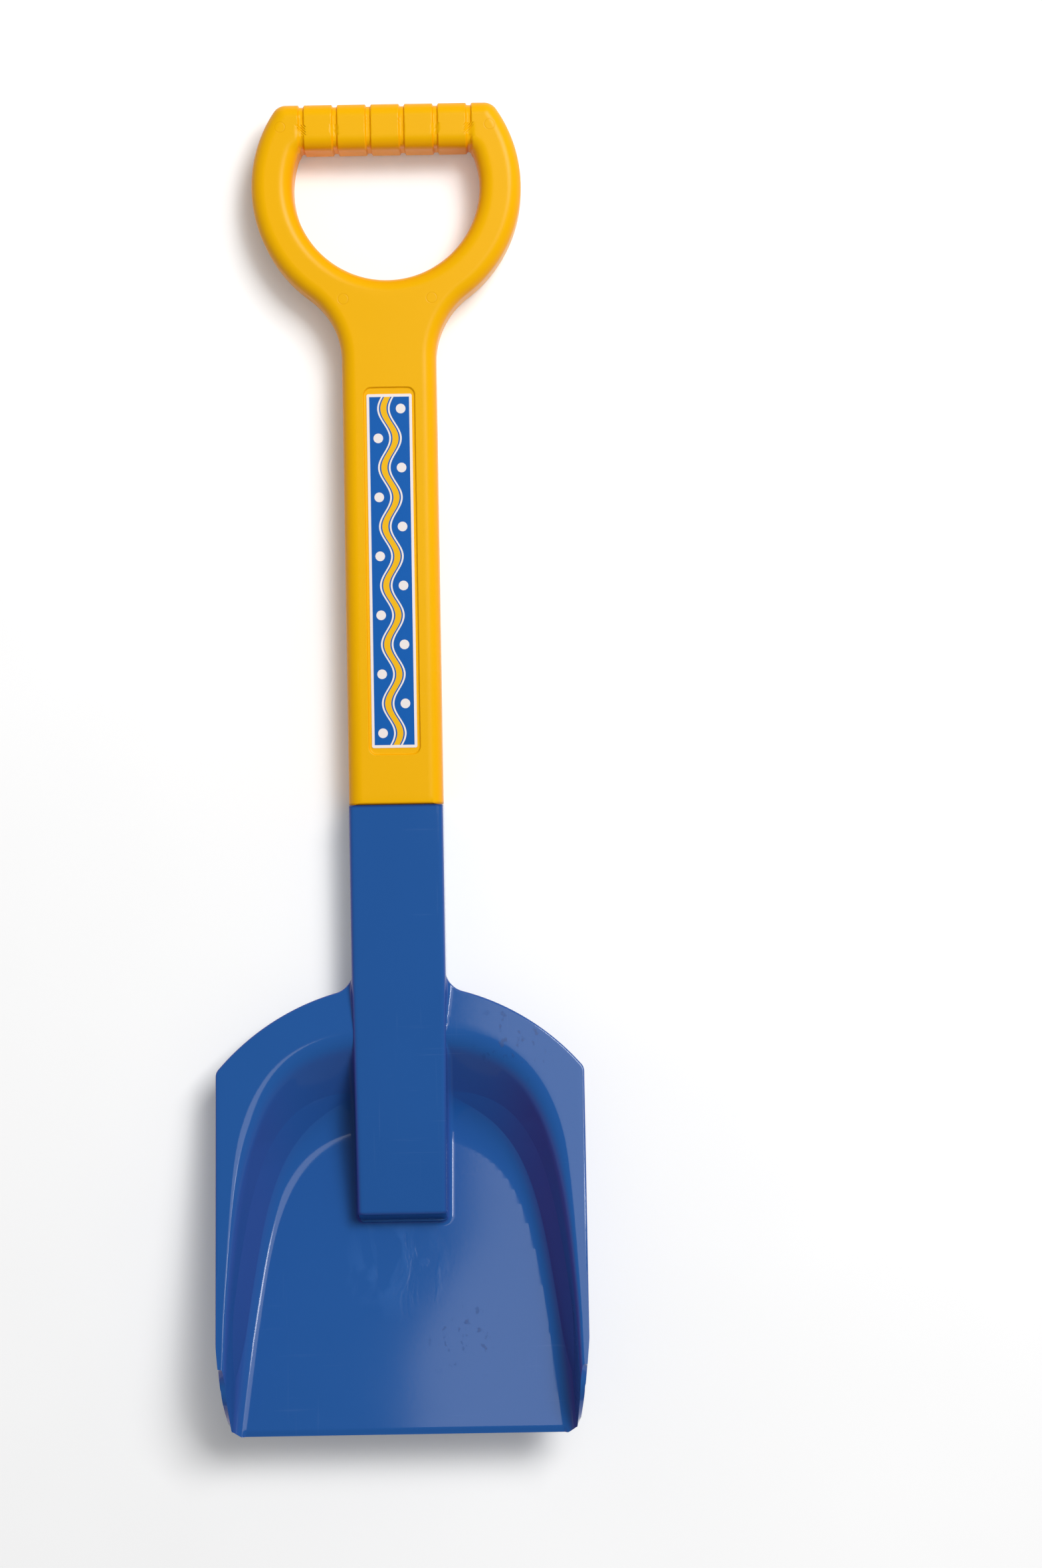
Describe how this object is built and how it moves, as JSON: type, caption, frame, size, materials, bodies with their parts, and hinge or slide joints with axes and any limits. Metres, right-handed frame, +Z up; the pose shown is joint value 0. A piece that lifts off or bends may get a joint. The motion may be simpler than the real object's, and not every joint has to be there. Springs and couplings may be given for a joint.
{
  "type": "sand shovel",
  "caption": "Child's sand shovel: a tilted scoop with a flange and a tubular stem, and a D-grip handle of two moulded shells pressed into the stem",
  "frame": {"origin": "middle of the length and width, on the surface that the shovel lies on", "axes": "+Z up from the surface, through the open side of the scoop; +Y along the shovel towards the D-grip; X across it"},
  "size_m": [0.158, 0.57, 0.0505],
  "materials": {
    "blade": "blue moulded plastic with a soft gloss",
    "handle": "yellow moulded plastic with a soft gloss",
    "label": "printed paper label with a satin coat"
  },
  "bodies": {
    "root": {"blade": "blade", "handle_front": "handle", "handle_back": "handle", "label": "label"}
  },
  "joints": []
}
